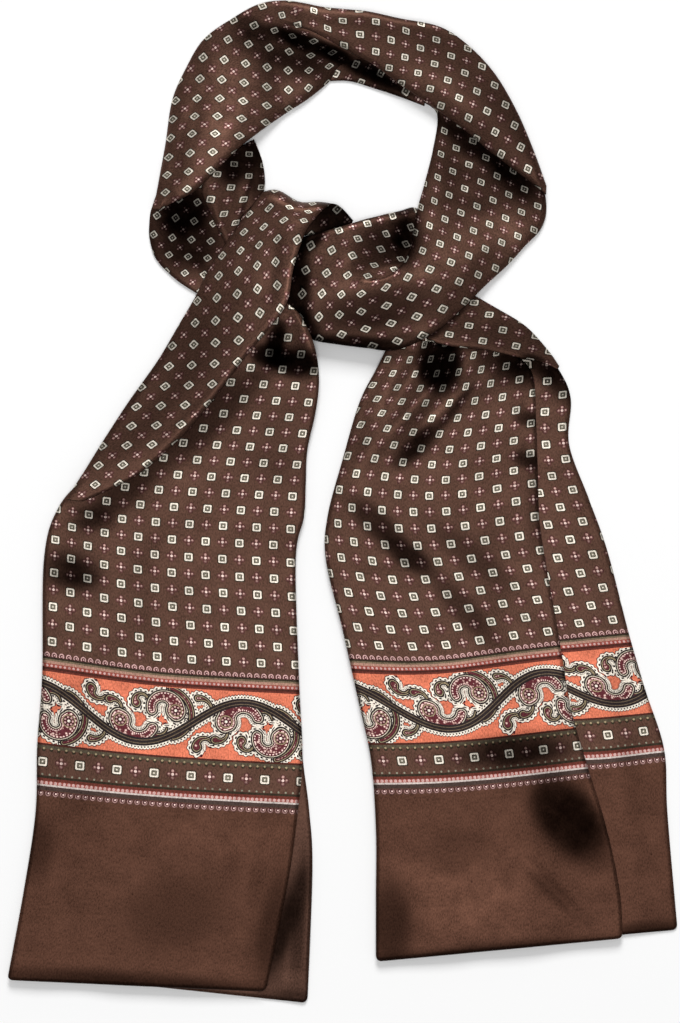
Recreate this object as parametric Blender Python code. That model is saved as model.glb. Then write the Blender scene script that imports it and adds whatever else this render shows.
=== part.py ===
"""A printed silk scarf laid flat: a ring for the neck, one half knot and two tails side by side.

The scarf is one long strip, folded lengthwise, so every stretch that shows is a wall of cloth a
little over a millimetre thick. Each stretch is a row of sections across the strip. A section says
where its left and right edges lie, how high the underside is there, and how far the middle stands
above the edges. The sheets lie on each other with a small gap, from the floor up.

Lengths in the tables are millimetres. X runs to the right, Y runs up the scarf from the hems to the
ring, and Z is up from the floor, which is at zero.
"""

import math
from collections import namedtuple

import bmesh
import bpy

MM = 0.001

# Driving dimensions, in millimetres.
WALL = 1.2  # two layers of silk pressed together, with the air between them
FLOOR_LAYER = 0.0  # underside of a layer that rests on the floor
PANEL_LAYER = 1.5  # underside of a front panel, on its under layer with a 0.3 mm gap
EDGE_DROP = 0.45  # how far a sheet's long edges are rounded down
ACROSS = 6  # faces across a sheet
STEPS = 2  # faces along a sheet between one section and the next
SATIN_ROUGHNESS = 0.42
SHARP_ANGLE = 40  # degrees between faces from which their edge shows as an edge

CORE_CENTRE = (-4.0, 130.0)
CORE_HALF_LENGTH = 56.0
CORE_HALF_WIDTH = 27.0
CORE_SIDES = 28
# Rings of the rounded solid that holds the knot's hidden layers: share of the radius, height.
CORE_RINGS = ((1.0, 0.0), (1.0, 0.7), (0.95, 1.5), (0.82, 2.3), (0.55, 2.8), (0.25, 3.0))

Section = namedtuple("Section", "left_x left_y left_z right_x right_y right_z crown")

# Ring, left half: from the back of the neck down to the left turn. The left edge is the outer one.
TOP_LEFT_BAND = (
    Section(-12, 284, 0, 2, 254, 0, 1.0),
    Section(-32, 295, 0, -15, 249, 0, 1.6),
    Section(-48, 298, 0, -32, 236, 0, 2.4),
    Section(-65, 291, 0, -48, 224, 2.2, 2.6),
    Section(-83, 278, 0, -62, 213, 3.6, 2.6),
    Section(-94, 260, 0, -72, 203, 3.6, 2.6),
    Section(-102, 241, 0, -81, 194, 3.6, 2.4),
    Section(-106, 215, 0, -90, 186, 3.6, 1.8),
    Section(-111, 187, 1.8, -104, 179, 3.0, 0.6),
    Section(-113, 176, 2.0, -110, 175, 2.4, 0.2),
)

# Ring, right half: from the back of the neck to the right turn. The left edge is the outer one.
TOP_RIGHT_BAND = (
    Section(-48, 298, 4.2, -46, 290, 4.8, 0.2),
    Section(-34, 300, 4.0, -26, 284, 4.8, 0.6),
    Section(-14, 298, 3.4, -4, 271, 4.0, 1.2),
    Section(8, 295, 2.4, 16, 260, 3.0, 1.6),
    Section(34, 290, 1.6, 38, 248, 2.2, 2.2),
    Section(58, 285, 1.5, 56, 237, 2.2, 2.6),
    Section(75, 274, 1.5, 74, 223, 2.2, 2.6),
    Section(91, 257, 1.5, 88, 211, 2.2, 2.2),
    Section(104, 235, 1.5, 104, 199, 2.2, 1.6),
    Section(114, 212, 1.6, 116, 190, 2.2, 0.8),
    Section(122, 190, 2.0, 122, 185, 2.2, 0.2),
)

# The folded-back layer that shows along the ring's inner edge at the top right.
TOP_INNER_LAYER = (
    Section(7, 283, 0, 7, 253, 0, 0.3),
    Section(20, 284, 0, 18, 249, 0, 0.3),
    Section(40, 280, 0, 36, 243, 0, 0.3),
    Section(56, 272, 0, 49, 238, 0, 0.3),
)

# From the right turn down to the knot, then left across it. The left edge is the inner one.
CROSSING_BAND = (
    Section(57, 233, 0, 117, 203, 0, 0.3),
    Section(55, 212, 0, 122, 179, 0, 0.5),
    Section(50, 188, 1.9, 119, 165, 0, 2.0),
    Section(45, 167, 3.0, 102, 148, 0, 2.0),
    Section(38, 145, 4.6, 81, 127, 1.8, 2.0),
    Section(26, 136, 5.7, 63, 109, 4.4, 1.6),
    Section(8, 137, 5.8, 45, 95, 5.4, 1.2),
    Section(-8, 141, 5.8, 26, 91, 4.8, 1.2),
    Section(-21, 143, 5.8, 2, 95, 4.4, 1.2),
    Section(-33, 145, 5.8, -24, 99, 4.0, 1.0),
)

# The crossing band's upper part, which sinks behind the fold. The left edge is the upper one.
CROSSING_UPPER = (
    Section(-30, 158, 4.6, -33, 143, 4.1, 0),
    Section(-14, 164, 5.0, -15, 141, 4.2, 0.3),
    Section(4, 172, 4.6, 6, 136, 4.2, 0.3),
    Section(26, 178, 3.0, 28, 137, 3.6, 0.2),
    Section(45, 184, 1.2, 48, 148, 1.0, 0.1),
    Section(51, 186, 0.2, 52, 158, 0.2, 0),
)

# Cloth that comes up through the ring, behind the crossing band.
TIE_BACK = (
    Section(-23, 178, 4.6, -25, 160, 3.3, 0),
    Section(-14, 179, 4.2, -15, 161, 3.2, 0),
    Section(-3, 177, 3.4, -4, 164, 2.8, 0),
    Section(4, 170, 2.2, 4, 166, 2.2, 0),
)

# The left turn of the ring, under the band that comes down to it.
LEFT_LOBE = (
    Section(-82, 212, 0, -52, 216, 0, 0),
    Section(-98, 194, 0, -48, 205, 0, 0),
    Section(-111, 179, 0, -47, 194, 0, 0.2),
    Section(-114, 165, 0, -48, 182, 0, 0.2),
    Section(-113, 155, 0, -54, 167, 0, 0.2),
    Section(-110, 145, 0, -58, 152, 0, 0.2),
    Section(-100, 134, 0, -63, 139, 0, 0.2),
    Section(-88, 126, 0, -68, 124, 0, 0.1),
)

# The fold that lies on the left turn and passes under the left tail.
LEFT_PASS = (
    Section(-76, 203, 1.8, -53, 218, 1.8, 0.2),
    Section(-81, 191, 1.8, -47, 200, 1.8, 0.2),
    Section(-78, 173, 1.8, -48, 184, 1.8, 0.2),
    Section(-72, 159, 1.8, -59, 173, 1.8, 0.1),
    Section(-69, 153, 1.8, -64, 161, 1.8, 0),
)

# Upper part of the left tail: it rolls over the knot's top and narrows along its crease.
LEFT_TAIL_UPPER = (
    Section(-46, 184, 4.2, -27, 179, 5.6, 0.3),
    Section(-51, 182, 5.2, -25, 177, 7.6, 0.6),
    Section(-59, 175, 4.4, -24, 170, 8.6, 1.0),
    Section(-68, 158, 3.8, -28, 155, 8.8, 1.0),
    Section(-80, 140, 3.2, -32, 137, 8.8, 1.0),
    Section(-88, 124, 2.4, -34, 119, 8.6, 1.0),
    Section(-98, 107, 2.0, -44, 104, 8.0, 0.8),
    Section(-111, 85, 2.0, -60, 85, 6.6, 0.5),
    Section(-128, 61, 2.0, -78, 61, 5.0, 0.4),
    Section(-143, 38, 2.2, -98, 38, 4.2, 0.3),
    Section(-156, 17, 3.4, -124, 16, 3.9, 0.1),
    Section(-166, 2, 4.0, -155, 1, 4.1, 0),
)

# Main panel of the left tail, from under the crease down to the hem.
LEFT_TAIL_FRONT = (
    Section(-47, 111, 5.2, -26, 113, 6.9, 0),
    Section(-62, 95, 2.0, -17, 95, 5.8, 0),
    Section(-76, 77, PANEL_LAYER, -14, 75, 3.2, 0.3),
    Section(-96, 56, PANEL_LAYER, -16, 55, 1.7, 0.6),
    Section(-122, 35, PANEL_LAYER, -21, 32, PANEL_LAYER, 0.8),
    Section(-146, 14, PANEL_LAYER, -22, 11, PANEL_LAYER, 0.8),
    Section(-168, -5, PANEL_LAYER, -23, -8, PANEL_LAYER, 1.0),
    Section(-179, -34, PANEL_LAYER, -28, -34, PANEL_LAYER, 1.0),
    Section(-180, -102, PANEL_LAYER, -26, -106, PANEL_LAYER, 1.0),
    Section(-183, -145, PANEL_LAYER, -24, -151, PANEL_LAYER, 1.0),
    Section(-184, -185, PANEL_LAYER, -27, -187, PANEL_LAYER, 1.0),
    Section(-191, -232, PANEL_LAYER, -33, -229, PANEL_LAYER, 1.0),
    Section(-201, -286, PANEL_LAYER, -46, -293, PANEL_LAYER, 0.6),
)

# Under layer of the left tail, which shows along its right edge near the hem.
LEFT_TAIL_UNDER = (
    Section(-100, 95, FLOOR_LAYER, -18, 91, FLOOR_LAYER, 0),
    Section(-125, 61, FLOOR_LAYER, -17, 56, FLOOR_LAYER, 0),
    Section(-150, 25, FLOOR_LAYER, -23, 25, FLOOR_LAYER, 0),
    Section(-168, -7, FLOOR_LAYER, -24, -8, FLOOR_LAYER, 0),
    Section(-178, -35, FLOOR_LAYER, -29, -34, FLOOR_LAYER, 0),
    Section(-179, -102, FLOOR_LAYER, -27, -106, FLOOR_LAYER, 0),
    Section(-182, -145, FLOOR_LAYER, -24, -151, FLOOR_LAYER, 0),
    Section(-183, -185, FLOOR_LAYER, -20, -184, FLOOR_LAYER, 0),
    Section(-189, -232, FLOOR_LAYER, -18, -220, FLOOR_LAYER, 0),
    Section(-198, -281, FLOOR_LAYER, -21, -300, FLOOR_LAYER, 0),
)

# Where the other strand leaves the knot: it folds along its upper edge into the right tail.
RIGHT_EXIT = (
    Section(66, 129, 0, 50, 98, 3.5, 0),
    Section(76, 126, 0, 64, 94, 3.5, 0.3),
    Section(94, 116, 0, 88, 91, 3.5, 0.3),
    Section(110, 106, 0, 106, 87, 3.4, 0.2),
    Section(123, 92, 0.6, 120, 84, 2.6, 0),
    Section(130, 82, 1.6, 129, 80, 2.0, 0),
)

# Front panel of the right tail, with a shallow pleat along its right edge.
RIGHT_TAIL_FRONT = (
    Section(30, 100, PANEL_LAYER, 104, 89, PANEL_LAYER, 0),
    Section(20, 80, PANEL_LAYER, 114, 77, PANEL_LAYER, 0.5),
    Section(10, 60, PANEL_LAYER, 116, 50, PANEL_LAYER, 1.0),
    Section(0, 26, PANEL_LAYER, 117, 20, PANEL_LAYER, 1.0),
    Section(-9, -8, PANEL_LAYER, 118, -10, PANEL_LAYER, 1.0),
    Section(-10, -34, PANEL_LAYER, 122, -37, PANEL_LAYER, 1.0),
    Section(0, -76, PANEL_LAYER, 129, -76, PANEL_LAYER, 1.0),
    Section(10, -121, PANEL_LAYER, 137, -123, PANEL_LAYER, 1.0),
    Section(17, -154, PANEL_LAYER, 146, -155, PANEL_LAYER, 1.0),
    Section(20, -196, PANEL_LAYER, 158, -194, PANEL_LAYER, 1.0),
    Section(20, -238, PANEL_LAYER, 166, -232, PANEL_LAYER, 1.0),
    Section(20, -275, PANEL_LAYER, 168, -261, PANEL_LAYER, 0.6),
)

# Under layer of the right tail, which shows as the narrow panel along its right side.
RIGHT_TAIL_UNDER = (
    Section(34, 89, FLOOR_LAYER, 130, 76, FLOOR_LAYER, 0),
    Section(13, 60, FLOOR_LAYER, 137, 62, FLOOR_LAYER, 0),
    Section(2, 26, FLOOR_LAYER, 136, 35, FLOOR_LAYER, 0),
    Section(-7, -8, FLOOR_LAYER, 148, 2, FLOOR_LAYER, 0),
    Section(-8, -34, FLOOR_LAYER, 159, -29, FLOOR_LAYER, 0),
    Section(2, -76, FLOOR_LAYER, 172, -79, FLOOR_LAYER, 0),
    Section(12, -121, FLOOR_LAYER, 182, -113, FLOOR_LAYER, 0),
    Section(19, -154, FLOOR_LAYER, 193, -148, FLOOR_LAYER, 0),
    Section(21, -196, FLOOR_LAYER, 195, -187, FLOOR_LAYER, 0),
    Section(22, -272, FLOOR_LAYER, 201, -256, FLOOR_LAYER, 0),
)

# Node name, sections, whether the underside arches with the crown, colour.
PRINTED_BROWN = (0.085, 0.045, 0.034)
DEEP_BROWN = (0.050, 0.028, 0.022)
Sheet = namedtuple("Sheet", "name sections arched colour")
SHEETS = (
    Sheet("left_tail_under", LEFT_TAIL_UNDER, False, DEEP_BROWN),
    Sheet("left_tail_front", LEFT_TAIL_FRONT, True, PRINTED_BROWN),
    Sheet("left_tail_upper", LEFT_TAIL_UPPER, True, PRINTED_BROWN),
    Sheet("right_tail_under", RIGHT_TAIL_UNDER, False, PRINTED_BROWN),
    Sheet("right_tail_front", RIGHT_TAIL_FRONT, True, PRINTED_BROWN),
    Sheet("right_exit", RIGHT_EXIT, True, PRINTED_BROWN),
    Sheet("crossing_band", CROSSING_BAND, True, PRINTED_BROWN),
    Sheet("crossing_upper", CROSSING_UPPER, True, DEEP_BROWN),
    Sheet("tie_back", TIE_BACK, True, DEEP_BROWN),
    Sheet("left_lobe", LEFT_LOBE, False, DEEP_BROWN),
    Sheet("left_pass", LEFT_PASS, True, PRINTED_BROWN),
    Sheet("top_left_band", TOP_LEFT_BAND, False, PRINTED_BROWN),
    Sheet("top_right_band", TOP_RIGHT_BAND, True, PRINTED_BROWN),
    Sheet("top_inner_layer", TOP_INNER_LAYER, False, DEEP_BROWN),
)


def clear_scene():
    for old in list(bpy.data.objects):
        bpy.data.objects.remove(old, do_unlink=True)


def silk(name, colour):
    material = bpy.data.materials.new(name)
    material.use_nodes = True
    shader = material.node_tree.nodes["Principled BSDF"]
    shader.inputs["Base Color"].default_value = (*colour, 1.0)
    shader.inputs["Roughness"].default_value = SATIN_ROUGHNESS
    shader.inputs["Metallic"].default_value = 0.0
    return material


def curve_value(before, start, end, after, share):
    """Catmull-Rom value between start and end."""
    square = share * share
    cube = square * share
    return 0.5 * (
        2 * start
        + (end - before) * share
        + (2 * before - 5 * start + 4 * end - after) * square
        + (3 * start - before - 3 * end + after) * cube
    )


def smooth_sections(sections):
    """The sections with STEPS faces between each two, on a smooth curve through them."""
    last = len(sections) - 1
    result = []
    for index in range(last):
        around = [sections[min(max(index + offset, 0), last)] for offset in (-1, 0, 1, 2)]
        for step in range(STEPS):
            share = step / STEPS
            values = [curve_value(*column, share) for column in zip(*around)]
            result.append(Section(*values))
    result.append(sections[last])
    return result


def section_points(section, arched):
    """Points across the top and across the underside of one section, left to right."""
    top = []
    underside = []
    for column in range(ACROSS + 1):
        share = column / ACROSS
        x = section.left_x + (section.right_x - section.left_x) * share
        y = section.left_y + (section.right_y - section.left_y) * share
        base = section.left_z + (section.right_z - section.left_z) * share
        lift = section.crown * 4 * share * (1 - share)
        drop = EDGE_DROP if column in (0, ACROSS) else 0.0
        top.append((x * MM, y * MM, (max(base, 0.0) + lift + WALL - drop) * MM))
        underside.append((x * MM, y * MM, (max(base, 0.0) + (lift if arched else 0.0)) * MM))
    return top, underside


def link_mesh(name, mesh, material):
    mesh.materials.append(material)
    mesh.shade_smooth()
    mesh.set_sharp_from_angle(angle=math.radians(SHARP_ANGLE))
    piece = bpy.data.objects.new(name, mesh)
    bpy.context.scene.collection.objects.link(piece)
    return piece


def cloth_sheet(sheet):
    """One stretch of the scarf as a closed wall between its top and its underside."""
    build = bmesh.new()
    rows = []
    for section in smooth_sections(sheet.sections):
        top, underside = section_points(section, sheet.arched)
        loop = top + underside[::-1]
        rows.append([build.verts.new(point) for point in loop])
    around = len(rows[0])
    for row, following in zip(rows, rows[1:]):
        for index in range(around):
            beside = (index + 1) % around
            build.faces.new((row[index], row[beside], following[beside], following[index]))
    half = around // 2
    for row in (rows[0], rows[-1]):
        for index in range(half - 1):
            opposite = around - 1 - index
            build.faces.new((row[index], row[index + 1], row[opposite - 1], row[opposite]))
    bmesh.ops.recalc_face_normals(build, faces=build.faces)
    mesh = bpy.data.meshes.new(sheet.name)
    build.to_mesh(mesh)
    build.free()
    return link_mesh(sheet.name, mesh, silk(sheet.name + "_silk", sheet.colour))


def knot_core():
    """The layers hidden inside the knot, as one rounded solid with a flat underside."""
    build = bmesh.new()
    rings = []
    for share, height in CORE_RINGS:
        ring = []
        for side in range(CORE_SIDES):
            angle = math.tau * side / CORE_SIDES
            x = CORE_CENTRE[0] + CORE_HALF_LENGTH * share * math.cos(angle)
            y = CORE_CENTRE[1] + CORE_HALF_WIDTH * share * math.sin(angle)
            ring.append(build.verts.new((x * MM, y * MM, height * MM)))
        rings.append(ring)
    for lower, upper in zip(rings, rings[1:]):
        for side in range(CORE_SIDES):
            beside = (side + 1) % CORE_SIDES
            build.faces.new((lower[side], lower[beside], upper[beside], upper[side]))
    build.faces.new(rings[0][::-1])
    build.faces.new(rings[-1])
    bmesh.ops.recalc_face_normals(build, faces=build.faces)
    mesh = bpy.data.meshes.new("knot_core")
    build.to_mesh(mesh)
    build.free()
    return link_mesh("knot_core", mesh, silk("knot_core_silk", DEEP_BROWN))


def main():
    clear_scene()
    bpy.context.scene.unit_settings.system = "METRIC"
    for sheet in SHEETS:
        cloth_sheet(sheet)
    knot_core()


main()
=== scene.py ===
"""Looks of a printed silk scarf laid flat: a ring for the neck, one half knot and two tails.

The scarf is one long strip folded lengthwise, so each stretch of it is a soft flat tube, swept
through much the same sections as its CAD node. Each point carries its place on the printed cloth,
found from a few pins, and a shade painted into the silk's colour, dark deep in folds and light
where a fold is lit. One material draws the whole print from that place and darkens it by that
painted shade.

Tables are in millimetres, in the frame of the CAD: X right, Y from the hems up to the ring, Z up.
Places on the cloth are in pitches of the print, a square or a cross every pitch.
"""

import math
from collections import namedtuple

import bpy
import numpy as np
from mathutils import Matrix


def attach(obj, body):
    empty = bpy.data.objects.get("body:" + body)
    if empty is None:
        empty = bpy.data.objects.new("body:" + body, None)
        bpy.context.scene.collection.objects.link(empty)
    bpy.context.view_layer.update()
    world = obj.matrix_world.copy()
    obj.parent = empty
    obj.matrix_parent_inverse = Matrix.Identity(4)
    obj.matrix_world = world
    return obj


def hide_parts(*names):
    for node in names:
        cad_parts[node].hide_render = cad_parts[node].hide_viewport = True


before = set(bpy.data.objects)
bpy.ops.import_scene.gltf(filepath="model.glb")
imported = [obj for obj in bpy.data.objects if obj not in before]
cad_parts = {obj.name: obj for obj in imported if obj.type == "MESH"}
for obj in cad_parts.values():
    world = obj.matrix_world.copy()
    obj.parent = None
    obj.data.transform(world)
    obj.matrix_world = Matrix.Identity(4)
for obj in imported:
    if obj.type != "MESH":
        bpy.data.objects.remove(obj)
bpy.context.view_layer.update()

MM = 0.001


def table(kind, *rows):
    """A table with named columns."""
    return tuple(kind(*row) for row in rows)


def tables(kind, **groups):
    """A table for each name."""
    return {name: table(kind, *rows) for name, rows in groups.items()}


# ---- tables of the shape

# A row across a plain stretch: its two fold edges, and how far its middle is crowned.
Section = namedtuple("Section", "left_x left_y left_z right_x right_y right_z crown")


def level(z, *rows):
    """Sections with both edges at one height: left x and y, right x and y, and crown if any."""
    return tuple(Section(*row[:2], z, *row[2:4], z, *(row[4:] or (0,))) for row in rows)


# A pleated row has three edges. The cloth comes from the over edge to the lip, turns under it where
# the pleat is open, and goes on from below it to the under edge. Open is 0 where the pleat has run
# out and the cloth is one smooth layer, and 1 where the lip is a whole fold edge.
PleatRow = namedtuple(
    "PleatRow", "over_x over_y over_z lip_x lip_y lip_z under_x under_y under_z crown open"
)

# The ring from its left turn over the back of the neck to its right turn. The over edge is the outer
# one. At the back of the neck a pleat opens, and from there on the right half lies on the left half.
RING_TOP = table(
    PleatRow,
    (-113, 176, 2.0, -112, 176, 2.2, -110, 175, 2.4, 0.2, 0),
    (-111, 187, 1.8, -109, 185, 2.2, -104, 179, 3.0, 0.6, 0),
    (-106, 215, 0, -101, 206, 1.2, -90, 186, 3.6, 1.8, 0),
    (-102, 241, 0, -96, 227, 1.2, -81, 194, 3.6, 2.4, 0),
    (-94, 260, 0, -87, 243, 1.0, -72, 203, 3.6, 2.6, 0),
    (-83, 278, 0, -77, 259, 0.8, -62, 213, 3.6, 2.6, 0),
    (-65, 291, 0, -61, 276, 0.4, -48, 224, 2.2, 2.6, 0),
    (-50, 299, 0, -47, 288, 0.6, -34, 234, 0, 2.0, 0),
    (-36, 301, 0.8, -34, 287, 1.6, -23, 241, 0, 1.6, 0.12),
    (-24, 299.5, 1.8, -22, 283, 3.0, -15, 247, 0, 1.2, 0.5),
    (-12, 297, 2.6, -9, 277.5, 3.6, -8, 253, 0, 1.0, 0.9),
    (2, 295.5, 3.2, 5, 270, 3.6, 0, 261, 0, 1.2, 1),
    (16, 294, 3.6, 18, 263, 3.2, 15, 266, 0, 1.4, 1),
    (34, 290, 3.6, 36, 250, 2.6, 36, 254, 0, 1.8, 1),
    (58, 285, 3.8, 55, 237, 2.4, 56, 241, 0, 1.8, 1),
    (75, 274, 3.6, 74, 223, 2.4, 74, 227, 0, 1.8, 1),
    (91, 257, 3.2, 88, 211, 2.4, 88, 215, 0, 1.6, 1),
    (104, 235, 2.6, 104, 199, 2.4, 104, 203, 0, 1.2, 1),
    (114, 212, 2.2, 116, 190, 2.2, 115.6, 193, 0, 0.8, 1),
    (122, 190, 2.0, 122, 185, 2.2, 122, 187, 0, 0.2, 1),
)

# The folded-back layer that shows along the ring's inner edge at the top right.
TOP_INNER_LAYER = level(
    0,
    (-10, 281, -8, 253, 0.3),
    (4, 283, 4, 253, 0.3),
    (20, 284, 18, 249, 0.3),
    (40, 280, 36, 243, 0.3),
    (56, 272, 49, 238, 0.3),
)

# From the right turn down to the knot, then left across it. The over edge is the outer and lower
# one. Above the lip the cloth shows again as the upper part of the crossing, up to the under edge.
CROSSING = table(
    PleatRow,
    (108, 222, 0, 48, 241, 0, 51, 240, 0, 0.3, 1),
    (117, 203, 0, 57, 233, 0, 61, 231, 0, 0.3, 1),
    (122, 179, 0, 54.5, 212, 0, 58, 210, 0, 0.5, 1),
    (119, 165, 0, 49, 190, 1.9, 52.5, 188, 0, 2.0, 1),
    (109, 154, 0, 45, 176, 2.6, 47, 177, 0, 2.0, 1),
    (99, 143, 0.4, 42.5, 163, 3.6, 41.5, 177, 0.2, 2.0, 1),
    (86, 131, 1.4, 40.5, 152, 4.4, 35, 175, 0.8, 2.0, 1),
    (74, 119, 3.0, 36, 143, 5.2, 28.5, 173.5, 1.6, 1.8, 1),
    (61, 107, 4.4, 28, 137, 5.6, 21, 171.6, 2.6, 1.5, 0.8),
    (46, 97, 5.2, 18, 134, 5.6, 13, 169.5, 3.6, 1.2, 0.35),
    (30, 91.5, 5.2, 7, 133, 5.4, 5, 167, 4.2, 1.2, 0.05),
    (14, 93, 4.8, -6, 132, 5.0, -5, 164, 4.4, 1.2, 0),
    (-2, 95, 4.4, -18, 131, 4.6, -16, 161, 4.4, 1.0, 0),
    (-18, 98, 4.0, -30, 128, 4.2, -28, 157, 4.0, 0.8, 0),
    (-38, 107, 2.4, -42, 127, 2.6, -40, 150, 2.6, 0.4, 0),
)

# Cloth that comes up through the ring, behind the crossing band.
TIE_BACK = table(
    Section,
    (-23, 178, 4.6, -25, 160, 3.3, 0),
    (-14, 179, 4.2, -15, 161, 3.2, 0),
    (-3, 178.6, 3.4, -4, 164, 2.8, 0),
    (6.4, 169.4, 2.2, 5, 166, 2.2, 0),
)

# The left turn of the ring, under the band that comes down to it.
LEFT_LOBE = level(
    0,
    (-82, 212, -52, 216, 0),
    (-98, 194, -48, 205, 0),
    (-113, 180, -47, 194, 0.2),
    (-116, 166, -48, 182, 0.2),
    (-115, 155, -54, 167, 0.2),
    (-111, 145, -58, 152, 0.2),
    (-100, 134, -63, 139, 0.2),
    (-88, 126, -68, 124, 0.1),
)

# The fold that lies on the left turn and passes under the left tail.
LEFT_PASS = level(
    1.8,
    (-80, 204, -53, 218, 0.2),
    (-85, 191, -47, 200, 0.2),
    (-79, 173, -48, 184, 0.2),
    (-72, 159, -59, 173, 0.1),
    (-69, 153, -64, 161, 0),
)

# Upper part of the left tail: it rolls over the knot's top and narrows along its crease.
LEFT_TAIL_UPPER = table(
    Section,
    (-48, 184, 4.2, -6, 178.6, 4.4, 0.3),
    (-51, 181, 4.4, -9, 176.8, 5.6, 0.6),
    (-56, 175, 4.4, -14, 172.5, 7.0, 0.9),
    (-63, 165, 4.2, -21, 164, 8.2, 1.0),
    (-70, 155, 3.8, -25, 154, 8.8, 1.0),
    (-80, 140, 3.2, -29.5, 139, 8.8, 1.0),
    (-88, 124, 2.4, -33, 120, 8.6, 1.0),
    (-98, 107, 2.0, -44, 104, 8.0, 0.8),
    (-111, 85, 2.0, -60, 85, 6.6, 0.5),
    (-128, 61, 2.0, -78, 61, 5.0, 0.4),
    (-143, 38, 2.2, -98, 38, 4.2, 0.3),
    (-156, 17, 3.4, -124, 16, 3.9, 0.1),
    (-166, 2, 4.0, -155, 1, 4.1, 0),
)

# Main panel of the left tail, from under the crease down to the hem.
LEFT_TAIL_FRONT = table(
    Section,
    (-43, 118, 5.6, -33.5, 120, 6.8, 0),
    (-49, 110, 4.6, -25.5, 112.5, 6.9, 0),
    (-62, 95, 2.0, -17, 95, 5.8, 0),
    (-76, 77, 1.5, -14, 75, 3.2, 0.3),
    (-96, 56, 1.5, -16, 55, 1.7, 0.6),
    (-122, 35, 1.5, -21, 32, 1.5, 0.8),
    (-154, 15, 1.5, -22, 11, 1.5, 0.8),
    (-171, -4, 1.5, -23, -8, 1.5, 1.0),
    (-179, -34, 1.5, -28, -34, 1.5, 1.0),
    (-180, -102, 1.5, -26, -106, 1.5, 1.0),
    (-183, -145, 1.5, -24, -151, 1.5, 1.0),
    (-184, -185, 1.5, -27, -187, 1.5, 1.0),
    (-191, -232, 1.5, -33, -229, 1.5, 1.0),
    (-201, -286, 1.5, -46, -293, 1.5, 0.6),
)

# Under layer of the left tail, which shows along its right edge near the hem.
LEFT_TAIL_UNDER = level(
    0,
    (-100, 95, -18, 91),
    (-125, 61, -17, 56),
    (-150, 25, -23, 25),
    (-168, -7, -24, -8),
    (-178, -35, -29, -34),
    (-179, -102, -27, -106),
    (-182, -145, -24, -151),
    (-183, -185, -20, -184),
    (-189, -232, -18, -220),
    (-198, -281, -21, -300),
)

# Where the other strand leaves the knot: it folds along its upper edge into the right tail.
RIGHT_EXIT = table(
    Section,
    (66, 129, 0, 50, 98, 3.5, 0),
    (76, 126, 0, 64, 94, 3.5, 0.3),
    (94, 116, 0, 88, 91, 3.5, 0.3),
    (110, 106, 0, 106, 87, 3.4, 0.2),
    (123, 92, 0.6, 120, 84, 2.6, 0),
    (130, 82, 1.6, 129, 80, 2.0, 0),
)

# Front panel of the right tail, with a shallow pleat along its right edge.
RIGHT_TAIL_FRONT = level(
    1.5,
    (30, 100, 104, 89, 0),
    (20, 80, 114, 77, 0.5),
    (10, 60, 116, 50, 1.0),
    (0, 26, 117, 20, 1.0),
    (-9, -8, 118, -10, 1.0),
    (-10, -34, 122, -37, 1.0),
    (0, -76, 129, -76, 1.0),
    (10, -121, 137, -123, 1.0),
    (17, -154, 146, -155, 1.0),
    (20, -196, 158, -194, 1.0),
    (20, -238, 166, -232, 1.0),
    (20, -275, 168, -261, 0.6),
)

# Under layer of the right tail, which shows as the narrow panel along its right side.
RIGHT_TAIL_UNDER = level(
    0,
    (44, 100, 120, 92),
    (34, 89, 131, 78),
    (13, 60, 137, 62),
    (2, 26, 136, 35),
    (-7, -8, 148, 2),
    (-8, -34, 159, -29),
    (2, -76, 172, -79),
    (12, -121, 182, -113),
    (19, -154, 193, -148),
    (21, -196, 195, -187),
    (22, -272, 201, -256),
)

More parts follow.
